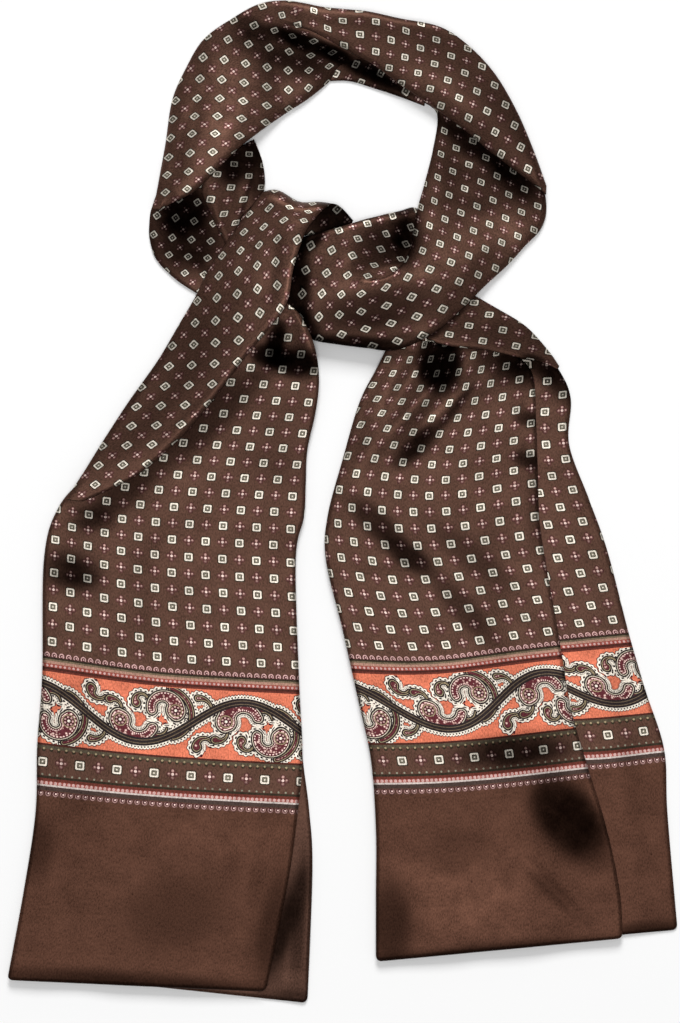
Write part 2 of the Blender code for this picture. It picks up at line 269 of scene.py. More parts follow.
# Where the print lies: a place on a stretch, and the print's column and row there. Squares lie at
# whole numbers with an even sum and crosses at those with an odd sum.
Pin = namedtuple("Pin", "x y column row")
PINS = tables(
    Pin,
    # On the tails the last row of squares before the border is row 0, and columns run right.
    left_tail=(
        (-55, 81, 2, -18), (-17, 79, 6, -18), (-30, 4, 6, -10), (-152, -7, -6, -8), (-82, -23, 1, -7),
        (-172, -22, -8, -6), (-174, -83, -8, 0), (-111, -92, -2, 0), (-28, -97, 6, 0),
        (-178, -174, -8, 8.7), (-28, -185, 6, 8.7), (-196, -283, -8, 19.2),
    ),
    right_tail=(
        (27, 86, -8, -18), (98, 82, 3, -17), (106, 74, 4, -16), (11, 47, -7, -13), (64, 32, 0, -12),
        (-2, 8, -7, -9), (104, 1, 4, -8), (106, -20, 4, -6), (-8, -42, -8, -4), (30, -46, -4, -4),
        (89, -71, 1, -1), (123, -77, 4, 0), (2, -84, -8, 0), (62, -85, -2, 0), (19, -173, -8, 8.7),
        (142, -164, 4, 8.7), (60, -172, -4.2, 8.7), (20, -274, -8, 18.4), (165, -261, 5.8, 18.2),
        (90, -272, -1, 18.4),
    ),
    right_panel=(
        (98, 75, -5, -15), (78, 8, -8, -8), (94, -64, -8, -1), (122, -158, -8, 8.7), (123, 73, -3, -15),
        (132, 65, -2, -14), (122, 35, -3, -11), (138, 8, -2, -8), (118, 6, -4, -8), (144, -11, -2, -6),
        (128, -64, -5, -1), (162, -70, -2, 0), (142, -72, -4, 0), (154, -158, -5, 8.7),
        (190, -154, -1.5, 8.7), (200, -257, -1.3, 18.5),
    ),
    # Round the ring and the knot the rows are far up the cloth from the border.
    left_tail_upper=(
        (-40, 183, -4, -44), (-18, 179, -2, -42), (-44, 175, -3, -45), (-56, 173, -4, -46),
        (-35, 169, -1, -45), (-23, 169, 0, -44), (-47, 165, -2, -46), (-59, 162, -3, -47),
        (-39, 158, 0, -46), (-27, 157, 1, -45), (-61, 151, -2, -48), (-72, 148, -3, -49),
        (-40, 144, 1, -47), (-51, 142, 0, -48), (-74, 136, -2, -50), (-39, 130, 2, -48),
        (-63, 125, 0, -50), (-87, 121, -2, -52), (-37, 116, 3, -49), (-76, 109, 0, -52),
        (-48, 99, 3, -51), (-102, 94, -1, -55), (-114, 35, 4, -60), (-144, 34, 2, -62),
        (-148, 11, 4, -64),
    ),
    left_lobe=(
        (-100, 171, -2, -50), (-89, 169, -1, -49), (-102, 159, -1, -51), (-79, 157, 1, -49),
        (-106, 139, 1, -53), (-83, 137, 3, -51),
    ),
    left_pass=(
        (-56, 209, -3, -49), (-75, 197, -1, -51), (-56, 196, -1, -49), (-79, 182, 1, -51),
        (-71, 173, 2, -50), (-64, 168, 3, -49),
    ),
    top_left=(
        (-48, 298, -4, -46), (-36, 292, -3, -45), (-27, 286, -2, -44), (-53, 286, -3, -47),
        (-30, 280, -1, -45), (-81, 280, -4, -50), (-19, 268, 1, -45), (-58, 263, -1, -49),
        (-8, 262, 3, -45), (-6, 270, 2, -44), (-100, 241, -2, -54), (-32, 236, 3, -49),
        (-46, 228, 3, -51), (-90, 221, 1, -55), (-104, 207, 1, -57), (-79, 199, 4, -56),
        (-93, 188, 4, -58), (-106, 186, 3, -59),
    ),
    top_right=(
        (-27, 286, -2, -44), (-17, 295, -3, -43), (-17, 280, -1, -43), (-9, 297, -4, -42),
        (20, 288, -3, -39), (47, 287, -4, -36), (-9, 284, -2, -42), (1, 274, -1, -41), (75, 272, -3, -33),
        (20, 270, -1, -39), (63, 253, 0, -34), (91, 250, -1, -31), (59, 238, 2, -34), (103, 226, 1, -29),
        (95, 209, 3, -29), (111, 200, 3, -27),
    ),
    top_inner=(
        (8, 263, 0, -50), (23, 258, 2, -50), (38, 247, 4, -50), (11, 252, 1, -49),
    ),
    crossing=(
        (61, 223, -3, -41), (86, 207, 0, -42), (57, 195, -3, -45), (109, 188, 3, -43), (117, 178, 4, -44),
        (52, 166, -3, -49), (105, 160, 3, -47), (65, 144, -1, -51), (39, 135, -3, -53),
        (15, 136, -6, -54), (11, 125, -5, -55), (3, 136, -7, -55), (-9, 139, -8, -56),
        (-22, 139, -9, -57), (-24, 125, -8, -58), (60, 116, 0, -54), (48, 100, 0, -56),
        (-14, 98, -5, -59), (18, 94, -2, -58), (-2, 163, -10, -54), (6, 148, -8, -54),
        (-19, 154, -10, -56),
    ),
    crossing_upper=(
        (-22, 139, -9, -57), (3, 136, -7, -55), (15, 136, -6, -54), (-19, 154, -10, -56),
        (6, 148, -8, -54), (19, 142, -7, -53), (31, 140, -6, -52), (-2, 163, -10, -54), (9, 158, -9, -53),
        (23, 152, -8, -52), (35, 146, -7, -51), (15, 167, -10, -52), (26, 161, -9, -51),
        (38, 155, -8, -50), (30, 172, -10, -50), (41, 165, -9, -49),
    ),
    tie_back=(
        (-3, 176, 0, -50), (-17, 174, -1, -51), (-5, 162, 1, -51),
    ),
    right_exit=(
        (79, 120, -1, -51), (88, 113, 0, -50), (64, 101, 2, -52), (84, 97, 2, -50), (104, 94, 2, -48),
    ),
)

# A crease follows a bow from its first point to its second. The bend is how far its middle lies to
# the left of the straight line. It is a ridge where the height is above zero, and a trough below.
Crease = namedtuple("Crease", "x0 y0 x1 y1 bend width height")
CREASES = tables(
    Crease,
    crossing=(
        (84, 182, -12, 131, -14, 10, 2.2), (75, 206, 66, 169, 0, 9, -1), (46, 110, -8, 104, 2, 8, -1),
        (93, 164, 58, 119, 0, 6, 0.9), (61, 218, 52, 164, 1, 6, 0.7), (-3, 166, 6, 142, 0, 7, 1),
        (21, 173, 33, 141, 0, 6, -1.5), (6, 140, 39, 147, -1, 4, -1.2),
    ),
    ring_top=(
        (-48, 277, -84, 194, 5, 9, 1.2), (-60, 292, 8, 262, -2, 8, -2.4), (-5, 260, -52, 229, 0, 6, 0.9),
        (-86, 266, -104, 188, 4, 6, -0.7), (-26, 293, 58, 275, 3, 9, 0.8), (50, 257, 81, 225, 0, 8, 1),
        (70, 271, 110, 206, 3, 8, -0.6),
    ),
    left_tail_front=(
        (-35, 108, -52, 74, 0, 7, -1.6), (-28, 118, -15, 81, -1, 5, 1.6),
        (-170, -7, -137, -11, 0, 5, -1.2), (-179, -38, -146, -43, -1, 6, -1.2),
        (-106, -10, -110, -89, 0, 13, 0.7), (-52, 62, -47, -82, 2, 12, 0.5),
        (-140, -82, -134, -238, 3, 15, 0.6), (-76, -118, -82, -274, -3, 14, -0.6),
        (-48, -154, -62, -289, -2, 9, 0.8),
    ),
    left_tail_upper=(
        (-27, 169, -35, 115, 3, 6, 1.5), (-41, 163, -46, 119, 2, 6, -1.2),
        (-56, 179, -70, 134, 0, 7, 0.9), (-48, 182, -26, 173, 0, 4, 0.8),
        (-82, 104, -134, 33, 0, 9, -0.8), (-63, 79, -116, 25, 0, 4, 0.8),
    ),
    left_tail_under=(
        (-20, -196, -24, -292, 1, 4, 1.1), (-30, -238, -36, -296, 1, 4, -0.7),
    ),
    left_lobe=(
        (-105, 169, -82, 145, 4, 9, -1.2), (-110, 173, -94, 131, 5, 7, 0.8),
    ),
    left_pass=(
        (-78, 190, -69, 155, -2, 5, 1.2), (-60, 212, -62, 173, 0, 6, -1.2),
        (-52, 206, -51, 184, 0, 4, 0.6),
    ),
    right_exit=(
        (94, 115, 76, 92, 0, 8, 0.8), (74, 122, 52, 94, 0, 5, -1.2),
    ),
    right_tail_front=(
        (39, 92, 15, 33, 0, 8, 1.6), (82, 92, 2, 10, -6, 7, 2.2), (56, 94, 20, 34, -3, 7, -2.6),
        (98, 82, 30, 23, -6, 7, -2), (9, -41, 50, -21, 0, 8, -1.3), (106, 59, 124, 52, 0, 5, -0.9),
        (106, 33, 123, 25, 0, 5, -0.9), (88, -151, 144, -139, 0, 8, -1.3),
        (116, -173, 159, -218, 0, 14, -1.4), (108, -212, 148, -254, 0, 4, 0.8),
        (34, -243, 80, -265, 0, 12, 0.8), (58, 14, 66, -88, 3, 15, 0.7), (94, 2, 102, -118, 2, 12, -0.5),
        (52, -172, 58, -262, 2, 14, 0.6),
    ),
    right_tail_under=(
        (130, 20, 154, -82, 2, 8, 0.5), (154, -88, 178, -250, 2, 8, 0.6),
    ),
    top_inner_layer=(
        (6, 265, 52, 239, 2, 3, -0.8),
    ),
)

# A patch of shade painted into the silk's colour deep in a fold, where hardly any light comes, or
# below zero a painted highlight where the cloth is lit: an ellipse, turned by degrees. The firmer it
# is, the sharper its edge.
ShadePatch = namedtuple("ShadePatch", "x y half_length half_width turn depth firm", defaults=(2,))
PAINTED_SHADE_PATCHES = tables(
    ShadePatch,
    left_tail_front=(
        (-40, 96, 14, 6, 75, 0.96, 3), (-43, 88, 13, 8, -10, 0.95, 3), (-28, 84, 17, 10, -8, 0.97, 3),
        (-28, 106, 17, 5, -52, -0.3), (-78, 52, 46, 11, 45, 0.72), (-131, 7, 38, 10, 41, 0.72),
        (-151, -7, 12, 8, 0, 0.5), (-162, -41, 19, 13, -18, 0.88), (-42, 45, 26, 40, 0, 0.2),
        (-100, -245, 34, 24, 20, 0.35), (-184, -206, 12, 20, 0, 0.5), (-121, -290, 100, 9, -4, 0.75),
        (-42, -254, 36, 9, 80, 0.6), (-70, -200, 34, 12, -10, -0.15),
    ),
    left_tail_under=(
        (-22, -262, 60, 40, 90, 0.25), (-34, -252, 38, 8, 70, 0.88), (-24, -297, 22, 5, -5, 0.6),
        (-30, -284, 6, 4, 0, -0.5),
    ),
    left_tail_upper=(
        (-33, 134, 36, 5, 85, -0.8), (-105, 72, 58, 22, 50, 0.38), (-6, 178, 9, 4, 0, 0.7),
    ),
    left_lobe=(
        (-94, 176, 20, 15, 22, 0.97, 3), (-93, 157, 27, 21, 0, 0.9), (-75, 135, 20, 4, -35, 0.6),
    ),
    left_pass=(
        (-61, 206, 21, 12, 47, 0.95, 3), (-58, 182, 17, 1.6, 74, 0.6), (-50, 194, 18, 5, 85, 0.75),
        (-66, 176, 30, 16, 60, 0.3),
    ),
    ring_top=(
        (-22, 276, 27, 6, -22, 0.97, 3), (-3, 268, 13, 6, -28, 0.96, 3), (-34, 270, 38, 12, -20, 0.8),
        (-13, 280, 22, 1.5, -26, -0.5), (-54, 284, 14, 7, -35, 0.75), (-38, 260, 20, 9, 0, 0.45),
        (-68, 240, 32, 22, 55, -0.45), (-88, 222, 55, 26, 65, -0.18), (40, 278, 60, 16, -15, 0.28),
        (98, 225, 34, 18, -58, 0.45),
    ),
    top_inner_layer=(
        (12, 261, 30, 6, -30, 0.97, 3), (22, 252, 36, 13, -24, 0.7),
    ),
    crossing=(
        (77, 216, 40, 8, -38, 0.93), (105, 194, 24, 12, -42, 0.93), (76, 198, 34, 24, -60, 0.5),
        (74, 155, 45, 12, 28, -0.35), (98, 163, 16, 13, -50, -0.35), (25, 133, 30, 6, 8, -0.45),
        (20, 115, 42, 15, 10, 0.75), (6, 95, 34, 6, -4, 0.93, 3), (36, 97, 20, 5, 5, 0.6),
        (37, 160, 22, 11, 80, 0.97), (24, 156, 22, 16, 0, 0.62), (-27, 134, 42, 9, 93, 0.96, 3),
        (-20, 104, 16, 7, -62, 0.9), (-17, 161, 15, 7, 58, 0.94, 3), (0, 152, 14, 10, 0, -0.3),
    ),
    tie_back=(
        (-6, 172, 30, 18, 0, 0.96),
    ),
    right_exit=(
        (90, 105, 42, 18, -20, 0.42), (114, 86, 9, 3, -12, 0.8), (58, 107, 28, 4, 45, 0.85),
    ),
    right_tail_front=(
        (58, 85, 15, 21, 0, 0.985, 5), (106, 83, 28, 14, -15, 0.96), (44, 35, 19, 8, 44, 0.93),
        (69, 59, 20, 3, 52, 0.75), (67, 71, 28, 4, 57, -0.4), (47, 47, 22, 5, 42, -0.3),
        (30, 62, 22, 7, 60, -0.3), (112, 50, 10, 5, -10, 0.75), (111, 26, 10, 6, -10, 0.75),
        (118, 2, 30, 8, 90, 0.5), (21, -13, 22, 9, -42, 0.8), (40, -32, 18, 8, -35, 0.88),
        (73, -64, 30, 8, -48, 0.6), (76, -31, 32, 9, -38, 0.5), (103, -149, 38, 11, 5, 0.9),
        (136, -189, 32, 19, -50, 0.93, 3), (154, -180, 15, 3, -65, -0.5), (124, -232, 16, 5, -45, 0.35),
        (67, -208, 22, 14, 0, 0.28), (29, -252, 30, 14, 90, 0.7), (93, -271, 88, 8, 5, 0.8),
        (66, -236, 52, 32, 5, -0.3),
    ),
    right_tail_under=(
        (118, 83, 19, 9, -38, 0.93), (132, 72, 16, 10, -55, 0.75), (184, -258, 28, 8, 5, 0.7),
    ),
)

# A nudge moves the cloth round a place by so much in plan, most at its middle, to bow a straight row.
Nudge = namedtuple("Nudge", "x y radius move_x move_y")
NUDGES = tables(
    Nudge,
    left_tail_upper=((-40, 184, 9, 0, 4.6), (-25, 181, 7, 0, -1.2), (-12, 179, 8, 0, 0.8)),
)

# Slow swells over the whole scarf: length in mm, direction in degrees, start and height in mm.
Swell = namedtuple("Swell", "length direction start height")
SWELLS = table(
    Swell,
    (61, 8, 0.3, 0.35),
    (43, 74, 1.9, 0.28),
    (29, 131, 4.1, 0.18),
    (83, 158, 2.6, 0.40),
)

# How one stretch is made. Shoulder is how far in from a fold edge the cloth turns over. Where it is
# arched, its crown lifts both its layers, or else only the top one. Ends is "hem" where the last row
# is a sewn hem, and "roll" where the cloth rolls over at the first row.
Stretch = namedtuple("Stretch", "name sections pins thickness shoulder arched ends")
STRETCHES = table(
    Stretch,
    ("left_tail_under", LEFT_TAIL_UNDER, "left_tail", 2.0, 2.5, False, "hem"),
    ("left_tail_front", LEFT_TAIL_FRONT, "left_tail", 2.6, 2.6, True, "hem"),
    ("left_tail_upper", LEFT_TAIL_UPPER, "left_tail_upper", 3.0, 4.5, True, "roll"),
    ("right_tail_under", RIGHT_TAIL_UNDER, "right_panel", 2.0, 3.0, False, "hem"),
    ("right_tail_front", RIGHT_TAIL_FRONT, "right_tail", 2.6, 2.6, True, "hem"),
    ("right_exit", RIGHT_EXIT, "right_exit", 2.4, 3.5, True, ""),
    ("tie_back", TIE_BACK, "tie_back", 2.2, 4.0, True, ""),
    ("left_lobe", LEFT_LOBE, "left_lobe", 2.2, 4.0, False, ""),
    ("left_pass", LEFT_PASS, "left_pass", 2.2, 4.0, True, ""),
    ("top_inner_layer", TOP_INNER_LAYER, "top_inner", 1.8, 3.0, False, ""),
)

# A stretch with a pleat in it, the CAD nodes that it stands for, and the two maps of its print. Keeps
# says whether both maps hold where the pleat has run out, or only the under side's.
Pleated = namedtuple("Pleated", "name nodes rows over_pins under_pins keeps thickness shoulder")
RING_NODES = ("top_left_band", "top_right_band")
KNOT_NODES = ("crossing_band", "crossing_upper", "knot_core")
PLEATED = table(
    Pleated,
    ("ring_top", RING_NODES, RING_TOP, "top_right", "top_left", "under", 3.0, 3.6),
    ("crossing", KNOT_NODES, CROSSING, "crossing", "crossing_upper", "both", 3.2, 3.6),
)

# Points round a fold edge, across a plain row, across each side of a pleated row, under each half
# of a row, and along a crease.
SHOULDER_POINTS = 7
TOP_POINTS = 64
PLEAT_POINTS = 48
UNDER_POINTS = 6
BOW_POINTS = 13
ROW_STEP = 1.7  # between rows along a stretch
HEM_PLACES = (0.016, 0.011, 0.007, 0.004, 0.0015)  # extra rows, in sections before a hem
ROLL_PLACES = (0.03, 0.08, 0.15, 0.25)  # and after the start of a roll

# Lengths in mm.
SILK = 0.3
SEAM_GAP = 0.6  # between the two edges where a tube meets underneath
LOWEST = 0.05  # from the floor to the silk's under side
LOWEST_TOP = 0.6  # at least, from there to its top
HEM_REACH = 2.2  # over which a hem gets thinner
CORNER = 3.4  # radius of a hem's corners
ROLL_REACH = 7.0  # over which a rolled end turns down
LIP_SHOULDER = 3.2  # the widest shoulder of a pleat's lip
LIP_REACH = 2.5  # how far the cloth goes on past a lip that has run out
FOOT_INSET = 4.0  # how far in from an open lip's turn the cloth below it starts
FOOT_SINK = 0.4  # how far that cloth lies below the lip's under side
FOOT_LOWEST = 0.5  # from the floor to it
FOLD_RISE = 0.15  # how far above it the lip's turn ends
UNDER_WIDTH = 12.0  # below which the side under a lip gets thinner
PLATE_UNIT = 100.0  # in which the map of the print is worked out

# Shares, and powers of shares.
LIFT = 1.5  # the silk stands looser than its CAD wall, so heights grow by this
NARROW = 6.0  # a row under this many shoulders wide is thinner
NARROWEST = 0.35  # of the thickness, where a row has no width
EDGE_SHARE = 0.3  # of the width, for one shoulder at most
HEM_THIN = 0.3  # of the thickness, at a hem
ROLL_END = 0.45  # of the height, at a rolled end
LIP_DROP = 0.8  # of the thickness, over which an open lip turns down
LIP_THIN = 0.4  # of the thickness, lost under an open lip
EASE_END = 0.6  # how open a pleat is when both its sides follow their own maps
SWELL_SHARE = 0.6  # of the swells' heights
CROWN_POWER = 1.2  # above 1, a crown rises late from the fold edges
FADE_POWER = 0.7  # below 1, a crease keeps its height nearly to its ends
PIN_SLACK = 0.0004  # how loosely the map of the print follows its pins
TINY = 1e-6


# ---- shapes


def curve_value(before, start, end, after, share):
    """Catmull-Rom value between start and end."""
    square = share * share
    cube = square * share
    return 0.5 * (
        2 * start
        + (end - before) * share
        + (2 * before - 5 * start + 4 * end - after) * square
        + (3 * start - before - 3 * end + after) * cube
    )


def edge_places(row):
    """Where each edge of a row lies in plan."""
    return [row[first : first + 2] for first in range(0, len(row) - 2, 3)]


def row_places(sections, ends):
    """Places of the rows along a stretch, counted in sections, closer together at a hem or roll."""
    places = []
    for index, pair in enumerate(zip(sections, sections[1:])):
        longest = max(math.dist(*edge) for edge in zip(*map(edge_places, pair)))
        steps = max(2, math.ceil(longest / ROW_STEP))
        places += [index + step / steps for step in range(steps)]
    last = len(sections) - 1
    if ends == "hem":
        places += [last - share for share in HEM_PLACES]
    if ends == "roll":
        places += ROLL_PLACES
    return sorted(set(places)) + [last]


def spread_rows(sections, ends=""):
    """One row of section values for each place along the stretch."""
    values = np.array(sections, float)
    last = len(values) - 1
    rows = []
    for place in row_places(sections, ends):
        index = min(int(place), last - 1)
        around = [values[min(max(index + offset, 0), last)] for offset in (-1, 0, 1, 2)]
        rows.append(curve_value(*around, place - index))
    return np.array(rows)


def run_length(*columns):
    """Distance along a line of points to each of them."""
    steps = np.hypot(*(np.diff(column) for column in columns))
    return np.concatenate([[0], np.cumsum(steps)])


def between(start, end, share):
    """Places on the straight line from start to end."""
    return start + (end - start) * np.asarray(share)[:, None]


def quarter_round(distance, reach):
    """From 0 up to 1 within a reach, as a quarter of a circle."""
    return math.sqrt(1 - (1 - min(1.0, distance / reach)) ** 2)


def slimmed(stretch, width):
    """How wide a row is, at most 1, and the thickness it has there."""
    narrow = min(1.0, width / (NARROW * stretch.shoulder))
    return narrow, stretch.thickness * (NARROWEST + (1 - NARROWEST) * narrow)


def crown_rise(share):
    """Rise of a crown from 0 at a row's edges to 1 in its middle."""
    return np.maximum(4 * share * (1 - share), 0) ** CROWN_POWER


def profile(width, thickness, shoulder):
    """Across one plain row, seam to seam: distances from its left edge, and heights."""
    turn = np.linspace(-math.pi / 2, math.pi / 2, 2 * SHOULDER_POINTS)
    edge_x = shoulder * (1 - np.cos(turn))
    edge_z = thickness * (0.5 + 0.5 * np.sin(turn))
    under = np.linspace(width / 2 - SEAM_GAP / 2, shoulder, UNDER_POINTS, endpoint=False)
    top = np.linspace(shoulder, width - shoulder, TOP_POINTS)[1:-1]
    across = np.concatenate([under, edge_x, top, width - edge_x[::-1], width - under[::-1]])
    height = np.concatenate([under * 0, edge_z, top * 0 + thickness, edge_z[::-1], under * 0])
    return across, height


def bow_points(crease):
    """Points along a crease, as a quadratic curve."""
    start = np.array([crease.x0, crease.y0], float)
    end = np.array([crease.x1, crease.y1], float)
    along = end - start
    side = np.array([-along[1], along[0]]) / max(np.linalg.norm(along), TINY)
    control = (start + end) / 2 + 2 * crease.bend * side
    share = np.linspace(0, 1, BOW_POINTS)[:, None]
    return (1 - share) ** 2 * start + 2 * share * (1 - share) * control + share**2 * end


def crease_lift(crease, x, y):
    """Height that a crease adds at each point, fading out at both its ends."""
    path = bow_points(crease)
    nearest = np.full(x.shape, np.inf)
    place = np.zeros(x.shape)
    pieces = len(path) - 1
    for index, (start, end) in enumerate(zip(path, path[1:])):
        along = end - start
        share = ((x - start[0]) * along[0] + (y - start[1]) * along[1]) / (along @ along)
        share = np.clip(share, 0, 1)
        far = np.hypot(x - start[0] - share * along[0], y - start[1] - share * along[1])
        closer = far < nearest
        nearest = np.where(closer, far, nearest)
        place = np.where(closer, (index + share) / pieces, place)
    fade = np.sin(math.pi * np.clip(place, 0.0, 1.0)) ** FADE_POWER
    return crease.height * fade * np.exp(-((nearest / crease.width) ** 2))


def swell_lift(x, y):
    """Height that the slow swells add at each point."""
    total = np.zeros(x.shape)
    for swell in SWELLS:
        angle = math.radians(swell.direction)
        along = x * math.cos(angle) + y * math.sin(angle)
        total += swell.height * np.sin(math.tau * along / swell.length + swell.start)
    return SWELL_SHARE * total


def plate_terms(at, knots):
    """How a thin plate answers at each place to a push at each knot, then its level and slopes."""
    far = np.hypot(at[:, None, 0] - knots[:, 0], at[:, None, 1] - knots[:, 1])
    push = far**2 * np.log(np.maximum(far, TINY**2))
    return np.hstack([push, np.ones((len(at), 1)), at])


def print_place(pins, flat):
    """Column and row of the print at each point, on a map bent like a thin plate to meet the pins."""
    values = np.array(pins, float)
    knots = values[:, :2] / PLATE_UNIT
    count = len(knots)
    system = np.zeros((count + 3, count + 3))
    system[:count] = plate_terms(knots, knots)
    system[:count, :count] += PIN_SLACK * np.eye(count)
    system[count:, :count] = system[:count, count:].T
    wanted = np.zeros((count + 3, 2))
    wanted[:count] = values[:, 2:]
    factors = np.linalg.solve(system, wanted)
    return (plate_terms(flat.reshape(-1, 2) / PLATE_UNIT, knots) @ factors).reshape(flat.shape)


def patch_shade(patches, x, y):
    """Painted shade: 1 in the open, falling towards 0 in the middle of a patch, and above 1 in a painted
    highlight.
    """
    shade = np.ones(x.shape)
    for patch in patches:
        angle = math.radians(patch.turn)
        along = (x - patch.x) * math.cos(angle) + (y - patch.y) * math.sin(angle)
        beside = (y - patch.y) * math.cos(angle) - (x - patch.x) * math.sin(angle)
        far = (along / patch.half_length) ** 2 + (beside / patch.half_width) ** 2
        shade *= 1 - patch.depth * np.exp(-(far**patch.firm))
    return shade


def laid(name, plan, height, up):
    """Points of a stretch after its nudges, creases and swells, and the shade at each. Up is how much
    they lift a point: 1 on top, 0 underneath."""
    x, y = plan[..., 0], plan[..., 1]
    for nudge in NUDGES.get(name, ()):
        share = np.exp(-((np.hypot(x - nudge.x, y - nudge.y) / nudge.radius) ** 2))
        x = x + nudge.move_x * share
        y = y + nudge.move_y * share
    lift = swell_lift(x, y)
    for crease in CREASES.get(name, ()):
        lift = lift + crease_lift(crease, x, y)
    z = np.maximum(height + lift * up, LOWEST + LOWEST_TOP * up)
    return np.stack([x, y, z], axis=-1), patch_shade(PAINTED_SHADE_PATCHES.get(name, ()), x, y)


def plain_row_grid(row, stretch, from_start, to_end):
    """One row of a plain stretch: places, heights, places if it lay open flat, and how far up."""
    left, right = edge_places(row)
    width = math.hypot(*(right - left))
    narrow, thickness = slimmed(stretch, width)
    if stretch.ends == "hem":
        thickness *= HEM_THIN + (1 - HEM_THIN) * quarter_round(to_end, HEM_REACH)
        inset = CORNER * (1 - quarter_round(to_end, CORNER)) / width
        step = inset * (right - left)
        left, right = left + step, right - step
        width *= 1 - 2 * inset
    rolled = quarter_round(from_start, ROLL_REACH) if stretch.ends == "roll" else 1.0
    across, height = profile(width, thickness, min(stretch.shoulder, EDGE_SHARE * width))
    share = across / width
    up = height / thickness
    left_z, right_z, crown = row[2], row[5], row[6]
    base = np.maximum(left_z + (right_z - left_z) * share, 0) * LIFT
    arch = crown * LIFT * crown_rise(share)
    z = base + height + arch * (1 if stretch.arched else up)
    z = z * (rolled + (1 - rolled) * ROLL_END)
    centre = len(across) // 2
    run = run_length(across, height)
    opened = width / 2 + run - (run[centre - 1] + run[centre]) / 2
    return between(left, right, share), z, between(left, right, opened / width), up * narrow


def plain_grid(stretch):
    """Points, print places and shades of one plain stretch, as rows by columns."""
    rows = spread_rows(stretch.sections, stretch.ends)
    reach = run_length(*((rows[:, :2] + rows[:, 3:5]) / 2).T)
    grids = [plain_row_grid(row, stretch, far, reach[-1] - far) for row, far in zip(rows, reach)]
    plan, height, flat, up = map(np.array, zip(*grids))
    points, shade = laid(stretch.name, plan, height, up)
    return points, print_place(PINS[stretch.pins], flat), shade


def turned_edge(edge, inward, drop, shoulder):
    """Over a fold edge from its top to its underside: places in plan, how far in from the edge,
    depths below its top, and places in plan if the cloth there went straight on."""
    turn = np.linspace(math.pi / 2, -math.pi / 2, 2 * SHOULDER_POINTS)
    far = shoulder * (1 - np.cos(turn))
    down = drop / 2 * (1 - np.sin(turn))
    start = edge + inward * shoulder
    plan = start + inward * (far - shoulder)[:, None]
    return plan, far, down, start - inward * run_length(far, down)[:, None]


